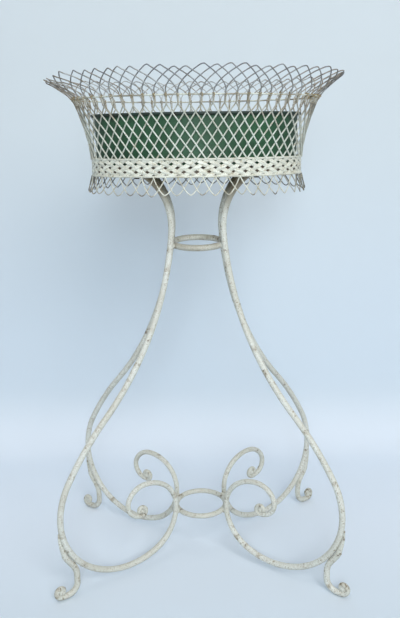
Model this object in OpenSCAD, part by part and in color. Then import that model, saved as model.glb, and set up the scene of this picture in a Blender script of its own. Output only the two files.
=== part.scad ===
// Wirework jardiniere: an oval open-wire basket with a lift-out metal liner,
// carried on four scrolled round-bar legs that two rings tie together.
// The part stands on z = 0, its length runs along X and its front faces -Y.

/* [Basket plan] */
// Width of the band at its wires' centre line
band_width = 358; // [320:1:400]
// Depth of the band at its wires' centre line
band_depth = 200; // [180:1:220]
// Radius of the oval's two ends at the band
end_radius = 64; // [52:1:72]

/* [Basket heights] */
// Height of the woven band between its two border wires' centres
band_height = 27; // [20:0.5:40]
// Height of the lattice from the band's top wire to where the wires pair up
lattice_height = 84; // [60:1:110]
// Height of the paired wires from there to the rim hoop
pair_height = 13; // [11:0.5:20]
// How far the rim hoop stands outside the band
rim_flare = 26; // [16:1:36]
// How far the pairing line stands outside the band
pair_flare = 21; // [18:1:24]
// How far the lattice stands outside the band at its middle height
lattice_flare = 9; // [6:0.5:12]

/* [Top loops] */
// Number of lattice wires each way, and of top loops
loop_count = 58; // [50:2:62]
// Rise of the top loops above the rim hoop
loop_rise = 41; // [30:1:55]
// How far the loops' tips stand outside the rim hoop at the front
loop_flare = 44; // [25:1:50]
// How much further they stand outside it at the basket's two ends
end_flare = 6; // [0:1:8]
// Knots that a loop spans, from its first leg to its last
loop_span = 4; // [4:1:4]
// Rows of half meshes between the band and the pairing line
lattice_rows = 7; // [5:1:8]

/* [Wires] */
// Diameter of the lattice and loop wires
wire_d = 2.8; // [2:0.1:3]
// Diameter of the rim hoop's wire
hoop_d = 3.2; // [2.4:0.1:4]
// Diameter of the band's border wires
border_d = 4; // [3:0.1:5]
// Wall of the small sleeves that bind each pair of wires
tie_wall = 0.7; // [0.5:0.1:1]
// Height of those sleeves
tie_height = 5; // [3:0.5:5]

/* [Band and fringe] */
// Number of woven strips each way, and of fringe loops
strip_count = 48; // [36:2:50]
// Width of a woven strip, measured level
strip_width = 15.6; // [8:0.2:17]
// Thickness of a woven strip
strip_thick = 0.9; // [0.6:0.1:1.2]
// Strip spacings that a strip crosses on its way up the band
strip_lean = 2; // [1.5:0.25:2.5]
// Drop of the fringe loops below the band
fringe_drop = 31; // [20:1:36]
// How far the fringe tips stand outside the band
fringe_flare = 9; // [3:1:15]

/* [Legs] */
// Turn of the legs' planes from the X axis, but for the back right leg's
leg_turn = 32.5; // [28:0.5:36]
// Turn of the back right leg's plane
back_right_turn = 36; // [30:0.5:36]
// Diameter of the legs' round bar
leg_d = 11; // [9:0.5:12]
// Distance from the axis at which a leg's top starts to bend
leg_top_r = 116; // [108:1:117]
// Straight tail of a leg under the cross bar
leg_tail = 6; // [5.5:0.5:7]
// Radius of the bend under the basket
shoulder_r = 31; // [28:1:34]
// Radius of the long bend at the neck
neck_r = 106; // [102:1:109]
// Radius of the long outward sweep below the neck
sweep_r = 532; // [520:1:545]
// Radius of the back bend above the knee
shin_r = 540; // [500:5:600]
// Radius of the knee
knee_r = 146; // [138:1:154]
// Radius of the large foot curve
heel_r = 127.5; // [122:0.5:130]
// Radius of the rise at the lower ring
instep_r = 87; // [82:1:92]
// Radius of the scroll's outer side
scroll_r = 62.5; // [58:0.5:68]
// Radius of the scroll's crown
crown_r = 38; // [33:1:43]
// Radius of the scroll's inner turn
curl_r = 27; // [25:1:31]
// Radius of the tight roll that ends the scroll
roll_r = 8.5; // [7.5:0.5:10]
// Diameter of the drawn-down bar in that roll
roll_d = 8; // [6:0.5:9]

/* [Feet] */
// Diameter of the feet's round bar
foot_d = 11; // [8:0.5:11.5]
// Angle along the large curve that a foot lies against
foot_hug = 10; // [8:0.5:16]
// Radius of the foot's ankle bend
ankle_r = 38; // [30:1:46]
// Radius of the nearly straight shank below the ankle
shank_r = 400; // [200:10:600]
// Radius of the bend from the shank into the sole
arch_r = 15; // [12:1:22]
// Radius of the nearly flat sole
sole_r = 300; // [150:10:500]
// Radius of the toe's rolled end
toe_r = 9; // [8.5:0.5:12]

/* [Rings] */
// Diameter of the upper ring's round bar
upper_ring_d = 11; // [8:0.2:12]
// Slope of the upper ring, its back higher than its front
upper_ring_slope = 4; // [0:0.5:5]
// Diameter of the lower ring's round bar
lower_ring_d = 9.6; // [8:0.2:11]
// Depth of the upper ring below the legs' tops
upper_ring_drop = 124; // [118:1:150]
// Height of the lower ring above the floor
lower_ring_z = 96.5; // [88:0.5:106]

/* [Basket floor] */
// Thickness of the flat hoop that carries the basket
bearer_thick = 3; // [2:0.5:4]
// Height of that hoop
bearer_height = 11; // [8:0.5:13]
// Width of the two cross bars
cross_width = 18; // [15:1:22]
// Thickness of the two cross bars
cross_thick = 4; // [3:0.5:5]
// Diameter of the floor rods
rod_d = 3; // [2:0.2:4]
// Number of floor rods
rod_count = 5; // [3:2:7]
// Distance between the floor rods
rod_pitch = 24; // [16:1:24]
// Diameter of the leg rivets' shank
rivet_d = 5; // [4:0.5:6]
// Diameter of the leg rivets' heads
rivet_head_d = 9; // [8:0.5:10]
// Height of the leg rivets' heads
rivet_head_h = 2.4; // [1.6:0.2:2.8]

/* [Liner] */
// Height of the liner
liner_height = 83; // [60:1:95]
// Gap between the band's centre line and the liner's wall at its top
liner_gap = 6.5; // [6.5:0.1:10]
// How much the liner's wall draws in down to its base
liner_taper = 2; // [0:0.5:4]
// Thickness of the liner's sheet metal
liner_sheet = 1; // [0.8:0.1:1.5]
// Diameter of the rolled bead at the liner's top
liner_bead_d = 5.4; // [4:0.2:6]

/* [Clearances] */
// Gap between pieces that are seated against each other
seat_gap = 0.3; // [0.2:0.05:0.5]
// Gap between wires that cross
cross_gap = 0.3; // [0.2:0.05:0.6]
// Extra room between crossing lattice wires, which are straight between their bends
lattice_room = 0.5; // [0.4:0.05:1]
// Extra room between woven strips, which are flat across their width
strip_room = 0.2; // [0.1:0.05:0.4]

/* [Hidden] */
$fn = 48;
wire_sides = 5;
plate_points = 96;

paint = "#dcdccb";
strip_paint = "#e6e6d8";
rust_tie = "#b09a68";
liner_green = "#2f5f47";

// Arc chains in a leg's own plane: each entry is a radius and a signed turn
shoulder_turn = 35;
neck_turn = 60.5;
sweep_turn = 37.5;
shin_turn = 13.5;
knee_turn = 27.5;
heel_turn = 116;
instep_turn = 69;
scroll_turn = 90.5;
crown_turn = 65;
curl_turn = 92.5;
lead_turn = 13;
lead_r = 40;
leg_arcs = [
  [shoulder_r, shoulder_turn], [neck_r, neck_turn], [sweep_r, sweep_turn],
  [shin_r, -shin_turn], [knee_r, -knee_turn], [heel_r, -heel_turn], [instep_r, -instep_turn],
  [scroll_r, -scroll_turn], [crown_r, -crown_turn], [curl_r, -curl_turn], [lead_r, -lead_turn]
];
roll_arcs = [[roll_r, -190]];
sweep_arc = 2;
heel_arc = 5;
instep_arc = 6;

// A point and heading after one arc, and after the first i arcs of a chain
function step(p, arc) =
  let (s = sign(arc[1]), h = p[2], cx = p[0] - s * arc[0] * sin(h), cy = p[1] + s * arc[0] * cos(h))
  [cx + s * arc[0] * sin(h + arc[1]), cy - s * arc[0] * cos(h + arc[1]), h + arc[1]];
function along(arcs, i, start) = i == 0 ? start : step(along(arcs, i - 1, start), arcs[i - 1]);
function arc_centre(arcs, i, start) =
  let (p = along(arcs, i, start), s = sign(arcs[i][1]))
  [p[0] - s * arcs[i][0] * sin(p[2]), p[1] + s * arcs[i][0] * cos(p[2])];

// The foot hugs the large curve, drops straight, stands on its sole and rolls up at the toe
foot_first = -27;
foot_taper = 22;
foot_lean = 10;
foot_out = heel_r + (leg_d + foot_d) / 2 + seat_gap;
ankle_turn = -foot_first + foot_hug;
shank_turn = 3;
sole_turn = 3;
toe_turn = 150;
tip_turn = 110;
tip_r = toe_r * 0.66;
foot_arcs = [
  [foot_out, -foot_hug], [ankle_r, ankle_turn], [shank_r, shank_turn], [arch_r, 90 - shank_turn],
  [sole_r, sole_turn], [toe_r, toe_turn], [tip_r, tip_turn]
];
sole_arc = 4;

// The legs' tops lie as high as puts the soles on the floor
leg_from_top = [leg_top_r, 0, 180];
heel_low = arc_centre(leg_arcs, heel_arc, leg_from_top);
foot_from_top = [
  heel_low[0] + foot_out * cos(foot_first), heel_low[1] + foot_out * sin(foot_first),
  foot_first - 90
];
leg_top_z = foot_d / 2 - along(foot_arcs, sole_arc, foot_from_top)[1];
leg_start = [leg_top_r, leg_top_z, 180];
foot_start = foot_from_top + [0, leg_top_z, 0];

// Rings touch the legs' inner sides at their own heights, the sloping one where it meets the back legs
function leg_r_at(i, z) =
  let (c = arc_centre(leg_arcs, i, leg_start)) c[0] - sqrt(pow(leg_arcs[i][0], 2) - pow(z - c[1], 2));
upper_ring_z = leg_top_z - upper_ring_drop;
upper_ring_rise = leg_r_at(sweep_arc, upper_ring_z) * sin(back_right_turn) * sin(upper_ring_slope);
upper_ring_r = leg_r_at(sweep_arc, upper_ring_z + upper_ring_rise) - (leg_d + upper_ring_d) / 2 - seat_gap;
lower_ring_r = leg_r_at(instep_arc, lower_ring_z) - (leg_d + lower_ring_d) / 2 - seat_gap;

// Heights above the legs' tops
cross_z = leg_top_z + leg_d / 2 + seat_gap;
rod_z = cross_z + cross_thick + seat_gap + rod_d / 2;
bearer_top = cross_z + cross_thick;
band_low_z = bearer_top - bearer_height - seat_gap - border_d / 2;
band_high_z = band_low_z + band_height;
lattice_low_z = band_high_z + border_d / 2 + seat_gap;
pair_z = band_high_z + lattice_height;
rim_z = pair_z + pair_height;
liner_z = rod_z + rod_d / 2 + seat_gap;
liner_top = liner_z + liner_height;

// The oval: two side arcs and two end arcs that stay tangent at every offset
end_c = band_width / 2 - end_radius;
flat_part = band_depth / 2 - end_radius;
side_c = (pow(end_c, 2) - pow(flat_part, 2)) / (2 * flat_part);
side_radius = end_radius + sqrt(pow(end_c, 2) + pow(side_c, 2));
side_angle = atan(end_c / side_c);
end_angle = 90 - side_angle;
side_length = (side_radius + rim_flare) * side_angle * PI / 180;
end_length = (end_radius + rim_flare) * end_angle * PI / 180;
round_length = 4 * (side_length + end_length);

// Centre, radius and angle of the oval at a length run round the rim from the front's middle
function oval_arc(run) =
  let (l = run - round_length * floor(run / round_length))
  l < side_length ? [0, side_c, side_radius, -90 + side_angle * l / side_length]
  : l < side_length + 2 * end_length
    ? [end_c, 0, end_radius, -end_angle + end_angle * (l - side_length) / end_length]
  : l < 3 * side_length + 2 * end_length
    ? [0, -side_c, side_radius, end_angle + side_angle * (l - side_length - 2 * end_length) / side_length]
  : l < 3 * side_length + 4 * end_length
    ? [-end_c, 0, end_radius, 90 + side_angle + end_angle * (l - 3 * side_length - 2 * end_length) / end_length]
  : [0, side_c, side_radius, 270 - side_angle + side_angle * (l - 3 * side_length - 4 * end_length) / side_length];
function oval_point(run, off, z) =
  let (a = oval_arc(run)) [a[0] + (a[2] + off) * cos(a[3]), a[1] + (a[2] + off) * sin(a[3]), z];
function unit(v) = v / norm(v);

// The basket wall's outward normal where it leans out by an angle from upright
function normal(run, lean) =
  let (a = oval_arc(run)) [cos(a[3]) * cos(lean), sin(a[3]) * cos(lean), -sin(lean)];

// Short joints in bent bars and hoops, a hair thicker than the bar
weld_cut = 0.4;
weld_length = 2.4;
weld_swell = 0.3;
rivet_hole_d = rivet_d + 2 * seat_gap;

// Half the distance between the outer and the inner layer of crossing wires
layer = (wire_d + cross_gap) / 2;
lattice_layer = layer + lattice_room / 2;
hoop_layer = (wire_d + hoop_d) / 2 + cross_gap / 2;
strip_layer = (strip_thick + cross_gap + strip_room) / 2;
loop_pitch = round_length / loop_count;
strip_pitch = round_length / strip_count;
pair_lean = atan((rim_flare - pair_flare) / pair_height);

// A bend of round bar that starts at the origin and heads along +X, short of both ends
module bend(arc, d) {
  s = sign(arc[1]);
  cut = weld_cut / arc[0] * 180 / PI;
  translate([0, s * arc[0], 0])
    rotate(s > 0 ? -90 + cut : 90 + arc[1] + cut)
      rotate_extrude(angle = abs(arc[1]) - 2 * cut)
        translate([arc[0], 0]) circle(d = d);
}

// Round bar along a chain of arcs, upright in the XZ plane, with a forged swell at each change
module bent_bar(arcs, start, d) {
  rotate([90, 0, 0]) {
    for (i = [0 : len(arcs) - 1]) {
      p = along(arcs, i, start);
      translate([p[0], p[1], 0]) rotate(p[2]) bend(arcs[i], d);
    }
    for (i = [0 : len(arcs)]) {
      p = along(arcs, i, start);
      translate([p[0], p[1], 0]) rotate(p[2]) rotate([0, 90, 0])
        cylinder(h = weld_length, d = d + weld_swell, center = true);
    }
  }
}

// Four arcs that carry a profile round the oval, the profile's x being its offset
// children(0) is the profile and children(1) the slightly larger one at the four joints
module round_oval(shift = 0) {
  for (side = [0, 180])
    rotate(side) {
      oval_sector(side_radius + shift, 2 * side_angle, [0, side_c, 0], -90 - side_angle) children(0);
      oval_sector(end_radius + shift, 2 * end_angle, [end_c, 0, 0], -end_angle) children(0);
      for (a = [-end_angle, end_angle])
        translate([end_c, 0, 0]) rotate(a) translate([end_radius + shift, weld_length / 2, 0])
          rotate([90, 0, 0]) linear_extrude(weld_length) children(1);
    }
}

module oval_sector(radius, angle, centre, turn) {
  cut = weld_cut / radius * 180 / PI;
  translate(centre) rotate(turn + cut)
    rotate_extrude(angle = angle - 2 * cut) translate([radius, 0]) children();
}

// Flat plate with the oval's outline
module oval_plate(off, thick) {
  linear_extrude(thick)
    polygon([
      for (i = [0 : plate_points - 1])
        let (p = oval_point((i + 0.5) * round_length / plate_points, off, 0)) [p[0], p[1]]
    ]);
}

// A closed skin over rings of points, each with the same number of corners
// Both wide faces of a strip are folded along the same diagonals, which keeps its thickness even
// The other way of folding gives the shorter diagonals on strips that lean the other way
module skin(rings, other_way = false) {
  n = len(rings[0]);
  last = len(rings) - 1;
  polyhedron(
    points = [for (r = rings) each r],
    faces = concat(
      [for (j = [1 : n - 2]) [0, j, j + 1]],
      [for (j = [1 : n - 2]) [last * n, last * n + j + 1, last * n + j]],
      [
        for (i = [0 : last - 1], j = [0 : n - 1])
          let (a = i * n + j, d = i * n + (j + 1) % n, b = a + n, c = d + n)
          each (j < n / 2) != other_way ? [[a, b, d], [b, c, d]] : [[a, b, c], [a, c, d]]
      ]
    )
  );
}

// Wire along a line of [run, offset, height, layer, lean] on the basket's wall
module wire(line, d) {
  last = len(line) - 1;
  outs = [for (p = line) normal(p[0], p[4])];
  path = [for (i = [0 : last]) oval_point(line[i][0], line[i][1], line[i][2]) + line[i][3] * outs[i]];
  skin([
    for (i = [0 : last])
      let (
        t = unit(path[min(i + 1, last)] - path[max(i - 1, 0)]),
        b = unit(cross(t, outs[i])),
        m = cross(b, t)
      )
      [for (j = [0 : wire_sides - 1])
        path[i] + d / 2 * (cos(360 * j / wire_sides) * m + sin(360 * j / wire_sides) * b)]
  ]);
}

// Straight round rod between two points
module rod(from, to, d) {
  v = to - from;
  translate(from)
    rotate([0, acos(v[2] / norm(v)), atan2(v[1], v[0])])
      cylinder(h = norm(v), d = d);
}

// A leg in its own plane, at a turn about the axis
module leg(turn) {
  color(paint) rotate(turn)
    difference() {
      union() {
        bent_bar(leg_arcs, leg_start, leg_d);
        translate([leg_top_r + weld_cut, 0, leg_top_z]) rotate([0, 90, 0])
          cylinder(h = leg_tail - weld_cut, d = leg_d);
        scroll_roll();
      }
      translate([leg_top_r, 0, leg_top_z - leg_d]) cylinder(h = 2 * leg_d, d = rivet_hole_d);
    }
}

// The bar's drawn-down end, rolled up tight inside the scroll, with a ball in its eye
module scroll_roll() {
  start = along(leg_arcs, len(leg_arcs), leg_start);
  tip = along(roll_arcs, len(roll_arcs), start);
  eye = arc_centre(roll_arcs, 0, start);
  ball = [tip[0], tip[1]] + 0.3 * (eye - [tip[0], tip[1]]);
  translate([start[0], 0, start[1]]) sphere(d = leg_d + weld_swell * 4);
  bent_bar(roll_arcs, start, roll_d);
  translate([ball[0], 0, ball[1]]) sphere(d = roll_d * 1.4);
}

// A foot against the large curve of its leg, tapered where it joins
module foot(turn) {
  tip = along(foot_arcs, len(foot_arcs), foot_start);
  color(paint) rotate(turn) {
    bent_bar(foot_arcs, foot_start, foot_d);
    translate([foot_start[0], 0, foot_start[1]]) {
      sphere(d = foot_d + weld_swell * 0.7);
      rotate([0, -foot_first - foot_lean, 0]) cylinder(h = foot_taper, d1 = foot_d, d2 = foot_d * 0.4);
    }
    translate([tip[0], 0, tip[1]]) sphere(d = foot_d + weld_swell * 1.4);
  }
}

module ring(r, z, d, slope) {
  color(paint) translate([0, 0, z]) rotate([slope, 0, 0]) rotate_extrude() translate([r, 0]) circle(d = d);
}

module bearer_hoop() {
  outer = -strip_layer - strip_thick / 2 - seat_gap;
  color(paint)
    translate([0, 0, bearer_top - bearer_height])
      round_oval(outer - bearer_thick) {
        square([bearer_thick, bearer_height]);
        translate([-weld_swell / 2, -weld_swell / 2])
          square([bearer_thick + weld_swell, bearer_height + weld_swell]);
      }
}

// Bar over the tops of a front leg and a back leg
module cross_bar(front, back) {
  inner = -strip_layer - strip_thick / 2 - seat_gap - bearer_thick - seat_gap;
  x = leg_top_r * (cos(front) + cos(back)) / 2;
  color(paint)
    difference() {
      translate([0, 0, cross_z])
        intersection() {
          oval_plate(inner, cross_thick);
          translate([x - cross_width / 2, -band_depth, 0]) cube([cross_width, 2 * band_depth, cross_thick]);
        }
      for (turn = [front, back])
        rotate(turn) translate([leg_top_r, 0, cross_z - 1])
          cylinder(h = cross_thick + 2, d = rivet_hole_d);
    }
}

module floor_rods() {
  seat = -strip_layer - strip_thick / 2 - seat_gap - bearer_thick / 2;
  color(paint)
    for (i = [0 : rod_count - 1]) {
      y = (i - (rod_count - 1) / 2) * rod_pitch;
      x = end_c + sqrt(pow(end_radius + seat, 2) - pow(y, 2));
      translate([-x, y, rod_z]) rotate([0, 90, 0]) cylinder(h = 2 * x, d = rod_d);
    }
}

// Shank with a flat head below the leg and a domed one on the cross bar
module leg_rivets() {
  low = leg_top_z - leg_d / 2 - seat_gap;
  high = cross_z + cross_thick + seat_gap;
  color(paint)
    for (turn = [180 + leg_turn, -leg_turn, back_right_turn, 180 - leg_turn])
      rotate(turn) translate([leg_top_r, 0, 0])
        rotate_extrude()
          polygon([
            [0, low - rivet_head_h], [rivet_head_d * 0.4, low - rivet_head_h], [rivet_head_d / 2, low],
            [rivet_d / 2, low], [rivet_d / 2, high], [rivet_head_d / 2, high],
            [rivet_head_d * 0.35, high + rivet_head_h * 0.8], [0, high + rivet_head_h]
          ]);
}

module round_wire(off, d) {
  round_oval(off) {
    circle(d = d);
    circle(d = d + weld_swell);
  }
}

module border_wire(z) {
  color(strip_paint) translate([0, 0, z]) round_wire(0, border_d);
}

// Strips that lean one way round the band, on the outer or the inner layer
module band_strips(lean) {
  low = band_low_z + border_d / 2 + seat_gap;
  high = band_high_z - border_d / 2 - seat_gap;
  steps = 5;
  color(strip_paint)
    for (i = [0 : strip_count - 1])
      skin([
        for (s = [0 : steps])
          let (
            z = low + (high - low) * s / steps,
            run = (i + lean * strip_lean * (s / steps - 0.5)) * strip_pitch,
            half = strip_width / 2,
            in = lean * strip_layer - strip_thick / 2,
            out = lean * strip_layer + strip_thick / 2
          )
          [oval_point(run - half, in, z), oval_point(run + half, in, z),
           oval_point(run + half, out, z), oval_point(run - half, out, z)]
      ], lean < 0);
}

// How far a loop has risen at a share of its half width from the middle
function loop_height(s) = let (e = sqrt(s * s + 0.0016)) 0.5 * (1 - e) + 0.5 * pow(max(1 - e, 0), 0.3);

// Offset, height and lean of the flaring top at a share of its rise, which flares most at the ends
function flare_at(run) = loop_flare + end_flare * pow(cos(oval_arc(run)[3]), 2);
function flare_point(t, run) =
  [rim_flare + flare_at(run) * t * (0.85 + 0.15 * t), rim_z + loop_rise * t * (1.15 - 0.15 * t)];
function flare_lean(t, run) = atan2(flare_at(run) * (0.85 + 0.3 * t), loop_rise * (1.15 - 0.3 * t));

// A loop rises on the inner layer, passes the hoop, and comes down on the outer layer
module top_loops() {
  shares = [-0.95, -0.8, -0.55, -0.25, -0.06, 0, 0.06, 0.25, 0.55, 0.8, 0.95];
  half = loop_span / 2 * loop_pitch;
  pair_mid = [(pair_flare + rim_flare) / 2, (pair_z + rim_z) / 2];
  color(paint)
    for (i = [0 : loop_count - 1]) {
      mid = (i + 0.5) * loop_pitch;
      knot_lean = (pair_lean + flare_lean(0, mid)) / 2;
      foot = [
        [pair_flare, pair_z, layer, pair_lean],
        [pair_mid[0], pair_mid[1], layer, pair_lean],
        [rim_flare, rim_z, hoop_layer, knot_lean]
      ];
      wire(concat(
        [for (p = foot) [mid - half, p[0], p[1], -p[2], p[3]]],
        [for (s = shares)
          let (run = mid + s * half, t = loop_height(s), p = flare_point(t, run))
          [run, p[0], p[1], sign(s) * layer, flare_lean(t, run)]],
        [for (j = [2 : -1 : 0]) let (p = foot[j]) [mid + half, p[0], p[1], p[2], p[3]]]
      ), wire_d);
    }
}

// Wires from the band's top wire to the pairing line, bent once at the middle of the lattice
// Those that rise towards +run lie on the inner layer
module lattice_wires(lean) {
  short = 1.6;
  mid_z = (lattice_low_z + pair_z) / 2;
  color(paint)
    for (i = [0 : loop_count - 1]) {
      run = (i + 0.5) * loop_pitch;
      travel = lean * lattice_rows / 2 * loop_pitch;
      low = oval_point(run - travel, 0, lattice_low_z + wire_d * 0.4)
        - lean * lattice_layer * normal(run - travel, 0);
      mid = oval_point(run - travel / 2, lattice_flare, mid_z)
        - lean * lattice_layer * normal(run - travel / 2, pair_lean / 2);
      high = oval_point(run, pair_flare, pair_z) - lean * lattice_layer * normal(run, pair_lean);
      rod(low, mid, wire_d);
      rod(mid, high - short * unit(high - mid), wire_d);
      translate(mid) sphere(d = wire_d + weld_swell);
    }
}

module rim_hoop() {
  color(paint) translate([0, 0, rim_z]) round_wire(rim_flare, hoop_d);
}

// Flat-sided sleeve round each pair of wires, just below the rim hoop
module rim_ties() {
  inner = wire_d + 2 * cross_gap;
  outer = inner + 2 * tie_wall;
  color(rust_tie)
    for (i = [0 : loop_count - 1]) {
      run = (i + 0.5) * loop_pitch;
      a = oval_arc(run);
      translate(oval_point(run, pair_flare, pair_z))
        rotate(a[3]) rotate([0, pair_lean, 0])
          translate([0, 0, 1])
            linear_extrude(tie_height)
              difference() {
                slot(outer);
                slot(inner);
              }
    }
}

module slot(d) {
  square([2 * layer, d], center = true);
  for (side = [-1, 1])
    translate([side * layer, 0]) circle(d = d);
}

module fringe_loops() {
  shares = [1, 0.8, 0.55, 0.3, 0.1];
  top = band_low_z - border_d / 2 - seat_gap;
  lean = -atan2(fringe_flare, fringe_drop);
  drop = [
    for (s = shares)
      let (t = 1 - pow(s, 1.4)) [s * strip_pitch, fringe_flare * t, top - fringe_drop * t]
  ];
  last = len(drop) - 1;
  color(strip_paint)
    for (i = [0 : strip_count - 1]) {
      mid = (i + 0.5) * strip_pitch;
      wire(concat(
        [for (p = drop) [mid - p[0], p[1], p[2], layer, lean]],
        [[mid, fringe_flare, top - fringe_drop, 0, lean]],
        [for (j = [last : -1 : 0]) let (p = drop[j]) [mid + p[0], p[1], p[2], -layer, lean]]
      ), wire_d);
    }
}

module liner_wall() {
  seam = weld_swell / 4;
  top = -liner_gap;
  low = top - liner_taper;
  color(liner_green)
    round_oval() {
      polygon([
        [low - liner_sheet, liner_z], [low, liner_z],
        [top, liner_top], [top - liner_sheet, liner_top]
      ]);
      polygon([
        [low - liner_sheet - seam, liner_z + seam], [low + seam, liner_z + seam],
        [top + seam, liner_top - seam], [top - liner_sheet - seam, liner_top - seam]
      ]);
    }
}

module liner_base() {
  color(liner_green)
    translate([0, 0, liner_z])
      oval_plate(-liner_gap - liner_taper - liner_sheet - seat_gap, liner_sheet);
}

module liner_rim_bead() {
  color(liner_green)
    translate([0, 0, liner_top - liner_bead_d / 2])
      round_wire(-liner_gap + liner_bead_d / 2 + seat_gap, liner_bead_d);
}

leg(180 + leg_turn);  // leg_front_left
leg(-leg_turn);  // leg_front_right
leg(back_right_turn);  // leg_back_right
leg(180 - leg_turn);  // leg_back_left
foot(180 + leg_turn);  // foot_front_left
foot(-leg_turn);  // foot_front_right
foot(back_right_turn);  // foot_back_right
foot(180 - leg_turn);  // foot_back_left
ring(upper_ring_r, upper_ring_z, upper_ring_d, upper_ring_slope);  // upper_ring
ring(lower_ring_r, lower_ring_z, lower_ring_d, 0);  // lower_ring
bearer_hoop();
cross_bar(180 + leg_turn, 180 - leg_turn);  // cross_bar_left
cross_bar(-leg_turn, back_right_turn);  // cross_bar_right
floor_rods();
leg_rivets();
border_wire(band_low_z);  // band_bottom_wire
border_wire(band_high_z);  // band_top_wire
band_strips(1);  // band_strips_outer
band_strips(-1);  // band_strips_inner
fringe_loops();
lattice_wires(1);  // lattice_wires_rising
lattice_wires(-1);  // lattice_wires_falling
rim_hoop();
rim_ties();
top_loops();
liner_wall();
liner_base();
liner_rim_bead();
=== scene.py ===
# Dressed model of a wirework jardiniere: cream painted basket, green liner, scrolled stand
import math
import random

import bpy
from mathutils import Matrix, Vector


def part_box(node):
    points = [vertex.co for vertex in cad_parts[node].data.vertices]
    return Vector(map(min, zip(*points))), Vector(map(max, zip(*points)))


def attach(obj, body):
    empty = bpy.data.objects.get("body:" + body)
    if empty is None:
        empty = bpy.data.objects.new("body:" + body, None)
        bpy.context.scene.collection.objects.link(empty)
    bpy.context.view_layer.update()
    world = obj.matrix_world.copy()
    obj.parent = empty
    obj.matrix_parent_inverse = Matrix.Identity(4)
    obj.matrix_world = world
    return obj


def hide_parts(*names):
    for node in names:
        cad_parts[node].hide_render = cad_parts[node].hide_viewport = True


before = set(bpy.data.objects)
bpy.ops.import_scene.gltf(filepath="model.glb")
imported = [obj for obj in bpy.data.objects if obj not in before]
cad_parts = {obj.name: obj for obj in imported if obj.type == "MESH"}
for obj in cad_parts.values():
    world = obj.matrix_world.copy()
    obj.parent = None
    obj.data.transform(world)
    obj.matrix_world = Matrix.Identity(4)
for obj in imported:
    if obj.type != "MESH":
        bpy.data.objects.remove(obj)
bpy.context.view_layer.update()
print("stage: frame loaded")

# Each piece's small differences come from its own seed; legs, feet and rings count on from theirs
seeds = {
    "lattice": 11,
    "loops": 23,
    "knots": 31,
    "strips": 41,
    "fringe": 43,
    "legWear": 50,
    "legBar": 60,
    "footWear": 70,
    "footBar": 80,
    "ringWear": 90,
    "ringBar": 95,
    "liner": 101,
    "linerBead": 9,
}


def anyPhase(dice):
    # where in its turn a wave starts
    return dice.uniform(0, 6.28)


def either(dice, most):
    # a draw to either side of nothing
    return dice.uniform(-most, most)


# The oval that the whole basket follows, in metres
oval = {
    "bandWidth": 0.358,
    "bandDepth": 0.200,
    "endRadius": 0.064,
    "rimFlare": 0.026,
}


def ovalShape():
    endCentre = oval["bandWidth"] / 2 - oval["endRadius"]
    flat = oval["bandDepth"] / 2 - oval["endRadius"]
    sideCentre = (endCentre ** 2 - flat ** 2) / (2 * flat)
    sideRadius = oval["endRadius"] + math.hypot(endCentre, sideCentre)
    sideAngle = math.atan(endCentre / sideCentre)
    endAngle = math.pi / 2 - sideAngle
    sideRun = (sideRadius + oval["rimFlare"]) * sideAngle
    endRun = (oval["endRadius"] + oval["rimFlare"]) * endAngle
    return endCentre, sideCentre, sideRadius, sideAngle, endAngle, sideRun, endRun


endCentre, sideCentre, sideRadius, sideAngle, endAngle, sideRun, endRun = ovalShape()
roundRun = 4 * (sideRun + endRun)


def ovalArc(run):
    # centre, radius and angle of the oval at a run round the rim from the front's middle
    r = run % roundRun
    if r < sideRun:
        return 0, sideCentre, sideRadius, -math.pi / 2 + sideAngle * r / sideRun
    r -= sideRun
    if r < 2 * endRun:
        return endCentre, 0, oval["endRadius"], -endAngle + endAngle * r / endRun
    r -= 2 * endRun
    if r < 2 * sideRun:
        return 0, -sideCentre, sideRadius, endAngle + sideAngle * r / sideRun
    r -= 2 * sideRun
    if r < 2 * endRun:
        return -endCentre, 0, oval["endRadius"], math.pi / 2 + sideAngle + endAngle * r / endRun
    r -= 2 * endRun
    return 0, sideCentre, sideRadius, -math.pi / 2 - sideAngle + sideAngle * r / sideRun


def ovalPoint(run, offset, z):
    cx, cy, radius, a = ovalArc(run)
    return Vector((cx + (radius + offset) * math.cos(a), cy + (radius + offset) * math.sin(a), z))


def outward(run, lean):
    a = ovalArc(run)[3]
    return Vector((math.cos(a) * math.cos(lean), math.sin(a) * math.cos(lean), -math.sin(lean)))


# Meshes of tubes and ribbons, gathered per piece with three marks on every point: rustMark says
# how worn the paint is there, toneMark shifts its shade from wire to wire, dirtAndShadeMark darkens it
# with dirt and, on some pieces, with painted shade

def newForm():
    return {"points": [], "faces": [], "rust": [], "tone": [], "soil": []}


def turned(normal, before, after):
    # carries a normal from one heading to the next without twist
    axis = before.cross(after)
    if axis.length < 1e-9:
        return normal
    angle = before.angle(after, 0.0)
    return Matrix.Rotation(angle, 3, axis.normalized()) @ normal


def headings(line, closed):
    # the way that the line runs at each of its points
    out = []
    last = len(line) - 1
    for i in range(len(line)):
        if closed:
            d = line[(i + 1) % len(line)] - line[i - 1]
        else:
            d = line[min(i + 1, last)] - line[max(i - 1, 0)]
        out.append(d.normalized())
    return out


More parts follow.
